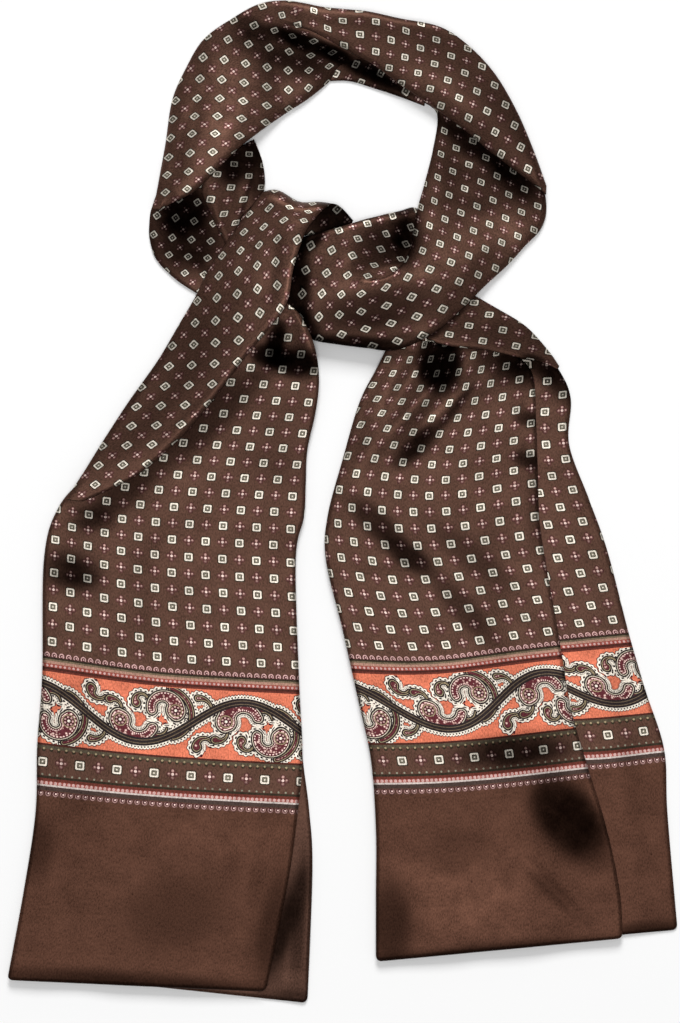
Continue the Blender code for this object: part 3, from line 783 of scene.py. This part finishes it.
def pleat_row_grid(row, stretch):
    """One row of a pleated stretch: places, heights, how far up, places if it lay open flat, 0 on
    the over side to 1 on the under side, and how open the pleat is."""
    over, lip, under = edge_places(row)
    over_z, lip_z, under_z = np.maximum(row[2:9:3], 0) * LIFT
    crown = row[9] * LIFT
    opened = min(max(row[10], 0), 1)
    over_width = math.dist(over, lip)
    along = (lip - over) / over_width
    goes_on = along @ (under - lip) > 0
    narrow, thickness = slimmed(stretch, over_width + math.dist(lip, under) * goes_on)
    shoulder = min(stretch.shoulder, EDGE_SHARE * over_width)
    lip_shoulder = min(shoulder, LIP_SHOULDER) * opened
    reach = LIP_REACH * (1 - opened)
    foot = lip + along * (reach - (lip_shoulder + FOOT_INSET) * opened)
    under_width = math.dist(foot, under)
    under_along = (under - foot) / under_width
    under_shoulder = min(shoulder, EDGE_SHARE * under_width)
    under_thickness = thickness * (1 - LIP_THIN * opened) * min(1.0, under_width / UNDER_WIDTH)
    foot_z = max(lip_z + thickness - opened * (thickness + FOOT_SINK), FOOT_LOWEST)
    lip_drop = max(LIP_DROP * thickness * opened, TINY)

    def side_height(start_z, end_z, before, width):
        """Height of one side of the pleat at shares of its width: its level, and the crown's rise
        over each side where the pleat is open, and over the whole row where it is not."""

        def height(share):
            whole = (before + share * width) / (over_width + under_width)
            rise = crown_rise(share) * opened + crown_rise(whole) * (1 - opened)
            return start_z + (end_z - start_z) * share, crown * rise

        return height

    over_height = side_height(over_z + thickness, lip_z + thickness, 0, over_width)
    under_height = side_height(foot_z, under_z + under_thickness, over_width, under_width)

    def turned_height(height, share, down, drop):
        """Height round an edge, which the crown lifts less and less on the way down."""
        level, rise = height(share)
        return level - down + rise * (1 - down / drop)

    share = np.linspace(shoulder / over_width, 1 - (lip_shoulder + reach) / over_width, PLEAT_POINTS)
    share = share[1:-1]
    over_top = between(over, lip, share)
    over_top_z = sum(over_height(share))
    under_share = np.linspace(0, 1 - under_shoulder / under_width, PLEAT_POINTS)[:-1]
    under_top = between(foot, under, under_share)
    under_top_z = sum(under_height(under_share))

    edge, edge_in, edge_down, edge_flat = turned_edge(over, along, thickness, shoulder)
    edge_z = turned_height(over_height, edge_in / over_width, edge_down, thickness)
    far_edge, far_in, far_down, far_flat = turned_edge(
        under, -under_along, under_thickness, under_shoulder
    )
    far_edge_z = turned_height(under_height, 1 - far_in / under_width, far_down, under_thickness)
    fold, fold_in, fold_down, fold_flat = turned_edge(lip, -along, lip_drop, lip_shoulder)
    fold_z = turned_height(over_height, 1 - fold_in / over_width, fold_down, lip_drop)
    # Round the lip and back to the foot, or straight across where the pleat has run out.
    back = np.array([1 / 3, 2 / 3])
    fold = np.concatenate([fold, between(fold[-1], foot, back)])
    fold_flat = np.concatenate([fold_flat, fold[-2:]])
    fold_z = np.concatenate([fold_z, fold_z[-1] + (foot_z + FOLD_RISE - fold_z[-1]) * back])
    step = np.linspace(0, 1, len(fold) + 2)[1:-1]
    smooth = between(over_top[-1], foot, step)
    smooth_z = over_top_z[-1] + (under_top_z[0] - over_top_z[-1]) * step
    fold = smooth + (fold - smooth) * opened
    fold_z = smooth_z + (fold_z - smooth_z) * opened
    fold_flat = smooth + (fold_flat - smooth) * opened
    fold_side = np.clip((step - 0.5) * (2 - opened) + 0.5 - 0.5 * opened, 0, 1)
    # The two edges meet underneath.
    seam = (over + under) / 2
    seam_z = (over_z + under_z) / 2
    below = np.linspace(0, 1, UNDER_POINTS)
    near_seam = between(seam - along * SEAM_GAP / 2, edge[-1], below)[:-1]
    far_seam = between(far_edge[-1], seam + along * SEAM_GAP / 2, below)[1:]
    near_z = seam_z + (edge_z[-1] - seam_z) * below[:-1]
    far_z = far_edge_z[-1] + (seam_z - far_edge_z[-1]) * below[1:]
    parts = (
        (near_seam, near_z, 0, near_seam, 0),
        (edge[::-1], edge_z[::-1], 1 - edge_down[::-1] / thickness, edge_flat[::-1], 0),
        (over_top, over_top_z, 1, over_top, 0),
        (fold, fold_z, 1, fold_flat, fold_side),
        (under_top, under_top_z, 1, under_top, 1),
        (far_edge, far_edge_z, 1 - far_down / under_thickness, far_flat, 1),
        (far_seam, far_z, 0, far_seam, 1),
    )
    plan, height, flat = (np.concatenate([part[column] for part in parts]) for column in (0, 1, 3))
    up, side = (np.concatenate([part[column] + 0 * part[1] for part in parts]) for column in (2, 4))
    return plan, height, up * narrow, flat, side, opened


def pleated_grid(stretch):
    """Points, print places and shades of one pleated stretch, as rows by columns."""
    grids = [pleat_row_grid(row, stretch) for row in spread_rows(stretch.rows)]
    plan, height, up, flat, side, opened = map(np.array, zip(*grids))
    points, shade = laid(stretch.name, plan, height, up)
    over_place = print_place(PINS[stretch.over_pins], flat)
    under_place = print_place(PINS[stretch.under_pins], flat)
    ease = np.clip(opened / EASE_END, 0, 1)[:, None]
    ease = ease * ease * (3 - 2 * ease)
    share = side if stretch.keeps == "both" else 1 - (1 - side) * ease
    return points, over_place + (under_place - over_place) * share[..., None], shade


def add(name, data):
    """A new object in the scene."""
    item = bpy.data.objects.new(name, data)
    bpy.context.scene.collection.objects.link(item)
    return item


def make_stretch(stretch, material):
    """The tube of silk of one stretch, with each point's place on the print."""
    points, place, shade = (pleated_grid if isinstance(stretch, Pleated) else plain_grid)(stretch)
    count, around = points.shape[:2]
    index = np.arange(count * around).reshape(count, around)
    faces = np.stack([index[:-1, :-1], index[:-1, 1:], index[1:, 1:], index[1:, :-1]], axis=-1)
    mesh = bpy.data.meshes.new(stretch.name + "_silk")
    mesh.from_pydata((points.reshape(-1, 3) * MM).tolist(), [], faces.reshape(-1, 4).tolist())
    cloth = mesh.attributes.new("cloth", "FLOAT_VECTOR", "POINT")
    # Each point's cloth values hold its place on the print and then its painted shade, which the material
    # multiplies into the colour.
    values = np.concatenate([place, shade[..., None]], axis=-1).astype(np.float32)
    cloth.data.foreach_set("vector", values.ravel())
    middle_face = mesh.polygons[(count // 2) * (around - 1) + around // 2]
    if middle_face.normal.z < 0:
        mesh.flip_normals()
    mesh.shade_smooth()
    mesh.materials.append(material)
    piece = add(stretch.name + "_silk", mesh)
    wall = piece.modifiers.new("silk", "SOLIDIFY")
    wall.thickness = SILK * MM
    wall.offset = -1
    return piece, points


# ---- print


def node_method(operation):
    """A method of Field that adds one node of arithmetic."""

    def method(self, *others):
        return self.math(operation, *others)

    return method


class Field:
    """A number that varies over the cloth: a socket of a material's node tree, with arithmetic."""

    def __init__(self, tree, socket):
        self.tree = tree
        self.socket = socket

    def math(self, operation, *others):
        node = self.tree.nodes.new("ShaderNodeMath")
        node.operation = operation
        for socket, value in zip(node.inputs, (self, *others)):
            if isinstance(value, Field):
                self.tree.links.new(value.socket, socket)
            else:
                socket.default_value = value
        return Field(self.tree, node.outputs[0])

    __add__ = __radd__ = node_method("ADD")
    __sub__ = node_method("SUBTRACT")
    __mul__ = __rmul__ = node_method("MULTIPLY")
    size = node_method("ABSOLUTE")
    least = node_method("MINIMUM")
    most = node_method("MAXIMUM")
    below = node_method("LESS_THAN")
    above = node_method("GREATER_THAN")
    power = node_method("POWER")
    angle_from = node_method("ARCTAN2")

    def __rsub__(self, other):
        return self.math("MULTIPLY_ADD", -1.0, other)

    def near(self, whole=1.0):
        """Signed distance to the nearest whole number of steps."""
        return self.math("WRAP", whole / 2, -whole / 2)

    def between(self, low, high):
        return self.above(low) * self.below(high)

    def length(self, other):
        """Length of the side opposite the right angle."""
        return (self * self + other * other).math("SQRT")


def linear(red, green, blue):
    """A colour given as it looks on a screen, 0 to 255, as the linear colour that a shader needs."""
    shares = (red / 255, green / 255, blue / 255)
    values = [s / 12.92 if s <= 0.04045 else ((s + 0.055) / 1.055) ** 2.4 for s in shares]
    return (*values, 1.0)


BROWN = linear(75, 53, 44)
PLAIN_BROWN = linear(71, 47, 37)
CREAM = linear(200, 191, 178)
OLIVE = linear(70, 62, 50)
DARK_OLIVE = linear(44, 38, 30)
GREY_GREEN = linear(117, 113, 98)
KHAKI = linear(134, 120, 94)
MOSS = linear(96, 82, 66)
TAN = linear(143, 109, 95)
PINK = linear(168, 135, 130)
PALE_PINK = linear(206, 178, 170)
ROSE = linear(158, 126, 118)
DIM_ROSE = linear(132, 104, 98)
PALE_ROSE = linear(194, 170, 162)
PEARL = linear(168, 156, 150)
PALE_KHAKI = linear(184, 172, 154)
DIM_PINK = linear(104, 76, 70)
MAROON = linear(80, 38, 42)
DARK_MAROON = linear(60, 28, 32)
RUST = linear(62, 34, 29)
DARK_RED = linear(86, 44, 37)
RED = linear(124, 62, 54)
ORANGE = linear(181, 100, 76)
SLATE = linear(60, 48, 44)
BLACK = linear(38, 32, 32)


def new_mix(tree, factor, under, over, blend="MIX"):
    """A node that lays one colour over another: each is a socket or a colour."""
    node = tree.nodes.new("ShaderNodeMix")
    node.data_type = "RGBA"
    node.blend_type = blend
    for key, value in (("Factor", factor), (6, under), (7, over)):
        socket = node.inputs[key]
        if isinstance(value, bpy.types.NodeSocket):
            tree.links.new(value, socket)
        else:
            socket.default_value = value
    return node.outputs[2]


class Paint:
    """The colour so far, on which each mask lays a new one."""

    def __init__(self, tree, colour):
        self.tree = tree
        rgb = tree.nodes.new("ShaderNodeRGB")
        rgb.outputs[0].default_value = colour
        self.socket = rgb.outputs[0]

    def lay(self, mask, colour):
        self.socket = new_mix(self.tree, mask.socket, self.socket, colour)


# A square is cream with a dark line and a grey-green middle. Its layers, in pitches from its middle.
Layer = namedtuple("Layer", "reach colour")
SQUARE = table(
    Layer,
    (0.295, DARK_OLIVE),
    (0.238, CREAM),
    (0.148, DARK_OLIVE),
    (0.104, GREY_GREEN),
    (0.068, OLIVE),
    (0.042, CREAM),
)
SQUARE_CORNER = 0.56  # above half, its corners are cut off


def lay_square(paint, across, down, mask):
    """A square, with distances in pitches."""
    far = across.size().most(down.size())
    far = far.most((across.size() + down.size()) * SQUARE_CORNER)
    for layer in SQUARE:
        paint.lay(far.below(layer.reach) * mask, layer.colour)


# A cross is a pale dot among four small pink ones on dark petals. Its dots, in pitches from its
# middle: to either side, down, and radius.
Dot = namedtuple("Dot", "beside down radius colour")
CROSS_DOTS = table(
    Dot,
    (0, -0.10, 0.050, DIM_PINK),
    (0, -0.205, 0.066, ROSE),
    (0.205, -0.02, 0.052, ROSE),
    (0, 0.20, 0.050, DIM_ROSE),
    (0, 0, 0.076, PALE_ROSE),
)
PETAL_OUT = 0.20  # from the middle of a cross to that of a petal
PETAL_RADIUS = 0.145
PETAL_STRENGTH = 0.75
LOOP_RADIUS = 0.075  # of a thin line in each petal
LOOP_HALF = 0.03
LOOP_STRENGTH = 0.6


def lay_cross(paint, across, down, mask):
    """A cross, with distances in pitches."""
    wide, tall = across.size(), down.size()
    petal = (wide.most(tall) - PETAL_OUT).length(wide.least(tall))
    paint.lay(petal.below(PETAL_RADIUS) * mask * PETAL_STRENGTH, DARK_MAROON)
    loop = (petal - LOOP_RADIUS).size()
    paint.lay(loop.below(LOOP_HALF) * mask * LOOP_STRENGTH, DIM_PINK)
    for dot in CROSS_DOTS:
        far = (wide - dot.beside).length(down - dot.down)
        paint.lay(far.below(dot.radius) * mask, dot.colour)


def lay_ground(paint, column, row, mask):
    """Squares and crosses by turns, a pitch apart."""
    falling = (column + row) * 0.5
    rising = (column - row) * 0.5
    for shift, motif in ((0.0, lay_square), (0.5, lay_cross)):
        one = (falling + shift).near()
        other = (rising + shift).near()
        motif(paint, one + other, one - other, mask)


PITCH = 10.4  # mm from a square to the next cross
BORDER_START = 0.65  # rows from the last row of squares to the top of the border
GROUND_END = 0.55  # rows from there to the last of the squares and crosses

# The border's stripes, from its top: where each starts and ends in mm, and its colour.
Stripe = namedtuple("Stripe", "start end colour")
STRIPES = table(
    Stripe,
    (2.6, 3.7, DARK_OLIVE),
    (3.7, 4.8, MOSS),
    (4.8, 6.4, TAN),
    (6.4, 8.6, RED),
    (8.6, 10.0, RUST),
    (10.0, 11.2, DARK_RED),
    (11.2, 53.9, ORANGE),
    (53.9, 55.1, RUST),
    (55.1, 57.2, OLIVE),
    (73.2, 74.6, DARK_OLIVE),
    (74.6, 76.3, DARK_RED),
    (76.3, 78.3, RED),
    (78.3, 79.4, PEARL),
    (79.4, 81.8, SLATE),
    (85.4, 400.0, PLAIN_BROWN),
)
# Rows of small round beads: height of their centres, how far apart, radius, colour.
Beads = namedtuple("Beads", "centre pitch radius colour")
BEADS = table(
    Beads,
    (7.6, 2.6, 0.75, PINK),
    (57.8, 4.3, 1.05, DARK_OLIVE),
    (57.0, 4.3, 0.65, KHAKI),
    (72.4, 4.3, 0.6, GREY_GREEN),
    (77.3, 2.6, 0.95, PINK),
)
# Rows of scallops: height of the arch's centre, how far apart, 1 if it stands or -1 if it hangs, and
# the colours of the arch and of the dot in it.
Scallops = namedtuple("Scallops", "centre pitch way arch dot")
SCALLOPS = table(
    Scallops,
    (1.4, 4.3, 1, PINK, PINK),
    (83.5, 4.3, -1, DIM_ROSE, PALE_PINK),
)
ARCH_RADIUS = 1.3
ARCH_SQUASH = 0.9  # below 1, it is taller than it is wide
ARCH_HALF = 0.32  # half the width of its line
ARCH_FOOT = 0.9  # how far below its centre it ends
SCALLOP_RADIUS = 2.0
SCALLOP_FOOT = 1.2
SCALLOP_DOT = 0.5
DOT_ASIDE = 0.2
# A row of squares and crosses by turns, a pitch apart.
SQUARES_CENTRE = 65.0
SQUARES_PITCH = 10.8
SQUARES_HALF = 6.0


def lay_border(paint, across, down):
    """The border, with both distances in mm."""
    for stripe in STRIPES:
        paint.lay(down.between(stripe.start, stripe.end), stripe.colour)
    for beads in BEADS:
        far = across.near(beads.pitch).length(down - beads.centre)
        paint.lay(far.below(beads.radius), beads.colour)
    for row in SCALLOPS:
        beside = across.near(row.pitch)
        rise = (down - row.centre) * row.way
        line = (beside.length(rise * ARCH_SQUASH) - ARCH_RADIUS).size().below(ARCH_HALF)
        arch = line * rise.below(ARCH_FOOT)
        ground = beside.length(rise).below(SCALLOP_RADIUS) * rise.below(SCALLOP_FOOT)
        paint.lay(ground, DARK_MAROON)
        paint.lay(arch, row.arch)
        paint.lay((beside - DOT_ASIDE).length(rise).below(SCALLOP_DOT), row.dot)
    row_mask = (down - SQUARES_CENTRE).size().below(SQUARES_HALF)
    along = across * (1 / SQUARES_PITCH)
    tall = (down - SQUARES_CENTRE) * (1 / SQUARES_PITCH)
    lay_square(paint, along.near(2.0), tall, row_mask)
    lay_cross(paint, (along + 1.0).near(2.0), tall, row_mask)


# The scroll in the orange band. Half of its repeat is drawn, and the next half is upside down. All
# these are in mm. Lines and rims are distances from a shape's edge, below zero inside it.
SCROLL_HALF = 62.4  # half of its repeat
SCROLL_CREST = 31.2  # where a crest of its stem lies along the border
SCROLL_CENTRE = 32.3  # middle of the stem's wave, from the border's top
SCROLL_RISE = 14.2  # from there to a crest
SCROLL_BAND = (11.6, 53.9)
STEM = 2.2  # half the stem's width
STEM_LINE = 0.3
STEM_RIM = (-1.4, -1.0)
LINE = 0.5  # round a comma, and round the fringe
RIM = (-0.8, -0.4)
FILL = -1.2
INNER = -1.6  # from where there are specks
SPECK_SCALE = 0.55  # specks a mm
SPECK = 0.42  # radius, as a share of the step between specks
SPECK_MIDDLE = 0.22
FRINGE = 2.7
TOOTH = 1.9  # between the fringe's points, and between its beads
TOOTH_SLOPE = 0.9  # how fast the fringe gets narrower away from a point
BEAD_OUT = 1.15  # from a shape's edge to the beads round it
BEAD = 0.5
RICH_BEAD_STEP = 1.5
RICH_BEAD_IN = 1.9
RICH_BEAD = 0.42
WAIST = 1.2  # how far a comma's tail draws in
FLOWER = 3.9
FLOWER_RIM = 3.6
FLOWER_RIM_HALF = 0.28
PETALS = 7
PETAL_RING = 2.3  # from a flower's middle to that of a petal
PETAL = 0.62
FLOWER_EYE = 0.85

# A comma of the scroll: its tail follows a circle with this centre and radius, from the first angle
# to the second, in degrees, with a disc at each end, called its head and its tip. X runs along the
# border from a crest of the stem, and Y down from the middle of the band. A rich one has a flower.
Comma = namedtuple("Comma", "x y radius first second head tip rich")
COMMAS = table(
    Comma,
    (98.0, -8.5, 7.0, -100, 20, 2.1, 0.8, 0),
    (38.5, -14.0, 4.8, 190, 40, 3.0, 1.1, 0),
    (46.5, -5.0, 5.2, -110, 0, 2.5, 0.9, 0),
    (63.5, -11.5, 3.8, 150, 330, 2.8, 0.9, 0),
    (77.0, -4.5, 16.0, 70, -75, 1.1, 1.8, 0),
    (76.5, -8.0, 7.2, 10, -195, 6.0, 3.2, 1),
    (72.5, 3.5, 6.0, 100, 10, 1.7, 0.6, 0),
    (60.8, 1.5, 9.8, 178, 22, 6.5, 3.3, 1),
)


def scroll_place(across, down, start):
    """Place within half a repeat that starts here, turned over in every other half."""
    shifted = across - start
    half = (shifted * (1 / SCROLL_HALF)).math("FLOOR")
    way = 1 - half.math("FLOORED_MODULO", 2.0) * 2
    return shifted - half * SCROLL_HALF, (down - SCROLL_CENTRE) * way


def comma_shape(comma, across, down):
    """Distance in mm from a comma's edge, below zero inside, then how far along its tail, then how
    far across and down from the centre of its head."""
    x, y = scroll_place(across, down, comma.x - SCROLL_HALF / 2)
    from_x = x - SCROLL_HALF / 2
    from_y = y - comma.y
    first = math.radians(comma.first)
    span = math.radians(comma.second) - first
    turned = (from_y.angle_from(from_x) - first) * math.copysign(1, span)
    rest = (math.tau - abs(span)) / 2
    angle = turned.math("WRAP", math.tau - rest, -rest)
    along = (angle * (1 / abs(span))).most(0.0).least(1.0)
    past = (angle * -1).most(angle - abs(span)).most(0.0) * comma.radius
    half_width = along * (comma.tip - comma.head) + comma.head
    waist = (along * (1 - along)) * (WAIST * (comma.head - comma.tip))
    tail = (from_x.length(from_y) - comma.radius).length(past) - half_width + waist
    ends = []
    for degrees, radius in ((comma.first, comma.head), (comma.second, comma.tip)):
        end_x = comma.radius * math.cos(math.radians(degrees))
        end_y = comma.radius * math.sin(math.radians(degrees))
        ends.append((from_x - end_x).length(from_y - end_y) - radius)
    shape = tail.least(ends[0]).least(ends[1])
    head_x = from_x - comma.radius * math.cos(first)
    head_y = from_y - comma.radius * math.sin(first)
    return shape, angle * comma.radius, head_x, head_y


def stem_shape(across, down):
    """The same four fields for the stem, a wave along the middle of the band."""
    x, y = scroll_place(across, down, 0.0)
    angle = x * (math.pi / SCROLL_HALF)
    slope = angle.math("SINE") * (SCROLL_RISE * math.pi / SCROLL_HALF)
    steep = (slope * slope + 1).math("SQRT").power(-1.0)
    return (y + angle.math("COSINE") * SCROLL_RISE).size() * steep - STEM, across, x, y


def set_inputs(node, values):
    """Sets a node's unlinked inputs."""
    for name, value in values.items():
        node.inputs[name].default_value = value


def texture(kind, output, across, down, values):
    """A texture over the cloth."""
    tree = across.tree
    place = tree.nodes.new("ShaderNodeCombineXYZ")
    tree.links.new(across.socket, place.inputs[0])
    tree.links.new(down.socket, place.inputs[1])
    node = tree.nodes.new(kind)
    set_inputs(node, values)
    tree.links.new(place.outputs[0], node.inputs["Vector"])
    return Field(tree, node.outputs[output])


def lay_flower(paint, x, y, mask):
    """A ring of petals round a dot, at the head of a large comma."""
    far = x.length(y)
    turn = y.angle_from(x).near(math.tau / PETALS) * PETAL_RING
    paint.lay(far.below(FLOWER) * mask, DARK_MAROON)
    paint.lay((far - FLOWER_RIM).size().below(FLOWER_RIM_HALF) * mask, KHAKI)
    paint.lay(turn.length(far - PETAL_RING).below(PETAL) * mask, PINK)
    paint.lay(far.below(FLOWER_EYE) * mask, CREAM)


def lay_scroll(paint, across, down):
    """A stem that waves along the orange band, with commas on both sides of it, all fringed."""
    mask = down.between(*SCROLL_BAND)
    across = across - SCROLL_CREST
    shapes = [comma_shape(comma, across, down) for comma in COMMAS]
    shapes.append(stem_shape(across, down))
    fringe = beads = None
    for far, along, *_ in shapes:
        tooth = along.near(TOOTH).size()
        edge = far + tooth * TOOTH_SLOPE - FRINGE
        bead = tooth.length(far - BEAD_OUT)
        fringe = edge if fringe is None else fringe.least(edge)
        beads = bead if beads is None else beads.least(bead)
    paint.lay(fringe.below(LINE) * mask, DARK_MAROON)
    paint.lay(fringe.below(0.0) * mask, CREAM)
    paint.lay(beads.below(BEAD) * mask, BLACK)
    cells = {"Scale": SPECK_SCALE, "Randomness": 0.7}
    speck = texture("ShaderNodeTexVoronoi", "Distance", across, down, cells)
    for comma, (far, along, x, y) in zip(COMMAS, shapes):
        paint.lay(far.below(LINE) * mask, BLACK)
        paint.lay(far.between(*RIM) * mask, PALE_KHAKI if comma.rich else KHAKI)
        paint.lay(far.below(FILL) * mask, MAROON)
        inner = far.below(INNER) * mask
        paint.lay(speck.below(SPECK) * inner, ROSE)
        paint.lay(speck.below(SPECK_MIDDLE) * inner, PALE_PINK)
        if comma.rich:
            bead = along.near(RICH_BEAD_STEP).length(far + RICH_BEAD_IN)
            paint.lay(bead.below(RICH_BEAD) * mask, PALE_PINK)
            lay_flower(paint, x, y, mask)
    far = shapes[-1][0]
    paint.lay(far.below(STEM_LINE) * mask, BLACK)
    paint.lay(far.between(*STEM_RIM) * mask, MOSS)


def cloudy(across, down, scale):
    """Noise from 0 to 1 over the cloth."""
    noise = {"Scale": scale, "Detail": 3.0, "Roughness": 0.7}
    return texture("ShaderNodeTexNoise", "Fac", across, down, noise)


THREAD_SCALE = 1.2  # threads a mm
THREAD_STRETCH = 0.5  # so they are longer down the strip
CLOUD_SCALE = 0.06  # clouds a mm
THREAD_TONE = 2.8
CLOUD_TONE = 0.9
SHADE_CLOUD = 1.6  # how far clouds break up the edges of the painted shade patches
SHADE_PALE = 0.95  # how much less pale marks darken in the painted shade
PALEST = 0.5  # brightness above which marks are all as pale
ROUGHNESS = 0.40
THREAD_ROUGHNESS = 0.25
METALLIC = 0.55
BUMP_STRENGTH = 0.25
BUMP_HEIGHT = 0.0002  # metres


def silk_shader(tree, paint, column, row, shade):
    """Satin: a soft brown gloss, fine threads along the strip and faint clouds in its colour. Painted
    shade darkens the colour, and with it the gloss, deep in folds, and painted highlights lighten it.
    """
    links = tree.links
    across = column * PITCH
    down = row * PITCH
    thread = cloudy(across, down * THREAD_STRETCH, THREAD_SCALE)
    cloud = cloudy(across, down, CLOUD_SCALE)
    level = tree.nodes.new("ShaderNodeRGBToBW")
    links.new(paint.socket, level.inputs[0])
    pale = Field(tree, level.outputs[0]).least(PALEST)
    # Painted shade: the patches' shade, broken up by the clouds and weaker on pale marks, is multiplied
    # into the print's colour below.
    shade = shade.power(((cloud - 0.5) * SHADE_CLOUD + 1.0) * (1 - pale * SHADE_PALE))
    tone_and_painted_shade = (thread - 0.5) * THREAD_TONE + (cloud - 0.5) * CLOUD_TONE + 1.0
    tone_and_painted_shade = tone_and_painted_shade * shade
    grey = tree.nodes.new("ShaderNodeCombineXYZ")
    for socket in grey.inputs:
        links.new(tone_and_painted_shade.socket, socket)
    shader = tree.nodes["Principled BSDF"]
    paint_with_painted_shade = new_mix(tree, 1.0, paint.socket, grey.outputs[0], "MULTIPLY")
    links.new(paint_with_painted_shade, shader.inputs["Base Color"])
    rough = (thread - 0.5) * THREAD_ROUGHNESS + ROUGHNESS
    links.new(rough.socket, shader.inputs["Roughness"])
    set_inputs(shader, {"Metallic": METALLIC, "Specular IOR Level": 0.0})
    bump = tree.nodes.new("ShaderNodeBump")
    set_inputs(bump, {"Strength": BUMP_STRENGTH, "Distance": BUMP_HEIGHT})
    links.new(thread.socket, bump.inputs["Height"])
    links.new(bump.outputs[0], shader.inputs["Normal"])


def node_material(name):
    """A new material, and its node tree."""
    material = bpy.data.materials.new(name)
    material.use_nodes = True
    return material, material.node_tree


def silk_material(name, printed):
    """Silk with the whole print, or plain."""
    material, tree = node_material(name)
    attribute = tree.nodes.new("ShaderNodeAttribute")
    attribute.attribute_name = "cloth"
    parts = tree.nodes.new("ShaderNodeSeparateXYZ")
    tree.links.new(attribute.outputs["Vector"], parts.inputs[0])
    # The third part of each point's cloth values is its painted shade.
    column, row, shade = (Field(tree, socket) for socket in parts.outputs)
    paint = Paint(tree, BROWN)
    if printed:
        across = column * PITCH
        down = (row - BORDER_START) * PITCH
        lay_ground(paint, column, row, row.below(GROUND_END))
        lay_border(paint, across, down)
        lay_scroll(paint, across, down)
    silk_shader(tree, paint, column, row, shade)
    return material


# ---- scene

VIEW_CENTRE = (-1.5, -5.1)  # what the camera looks straight down at, in mm
VIEW_HEIGHT = 613.8  # mm of the floor that the picture's height shows
LENS = 200.0
SENSOR = 36.0
FLOOR_HALF = 3.0  # metres, as are the lamps' places and sizes

Lamp = namedtuple("Lamp", "name x y z size power")
LAMPS = table(
    Lamp,
    ("overhead", 0.0, -0.5, 5.0, 2.2, 88.0),
    ("key", 0.1, 4.4, 3.1, 2.0, 216.0),
)
WORLD_LIGHT = 0.28


def make_camera():
    camera = bpy.data.cameras.new("camera")
    camera.lens = LENS
    camera.sensor_width = SENSOR
    holder = add("camera", camera)
    holder.location = (VIEW_CENTRE[0] * MM, VIEW_CENTRE[1] * MM, VIEW_HEIGHT * MM * LENS / SENSOR)
    bpy.context.scene.camera = holder


def make_floor():
    mesh = bpy.data.meshes.new("floor")
    corners = [(x * FLOOR_HALF, y * FLOOR_HALF, 0) for x, y in ((-1, -1), (1, -1), (1, 1), (-1, 1))]
    mesh.from_pydata(corners, [], [(0, 1, 2, 3)])
    material, tree = node_material("floor")
    set_inputs(
        tree.nodes["Principled BSDF"],
        {"Base Color": (0.98, 0.98, 0.98, 1), "Roughness": 0.9, "Specular IOR Level": 0.1},
    )
    mesh.materials.append(material)
    add("floor", mesh)


def make_lights():
    for lamp in LAMPS:
        light = bpy.data.lights.new(lamp.name, "AREA")
        light.energy = lamp.power
        light.size = lamp.size
        holder = add(lamp.name, light)
        holder.location = (lamp.x, lamp.y, lamp.z)
        aim = holder.location * -1
        holder.rotation_euler = aim.to_track_quat("-Z", "Y").to_euler()
    world = bpy.data.worlds.new("studio")
    world.use_nodes = True
    background = world.node_tree.nodes["Background"]
    set_inputs(background, {"Color": (1, 1, 1, 1), "Strength": WORLD_LIGHT})
    bpy.context.scene.world = world
    bpy.context.scene.view_settings.view_transform = "Standard"


def main():
    make_camera()
    make_floor()
    make_lights()
    printed = silk_material("printed_silk", True)
    plain = silk_material("plain_silk", False)
    for stretch in STRETCHES + PLEATED:
        is_plain = stretch.name == "left_tail_under"
        piece, points = make_stretch(stretch, plain if is_plain else printed)
        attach(piece, "root")
        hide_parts(*(stretch.nodes if isinstance(stretch, Pleated) else [stretch.name]))


main()
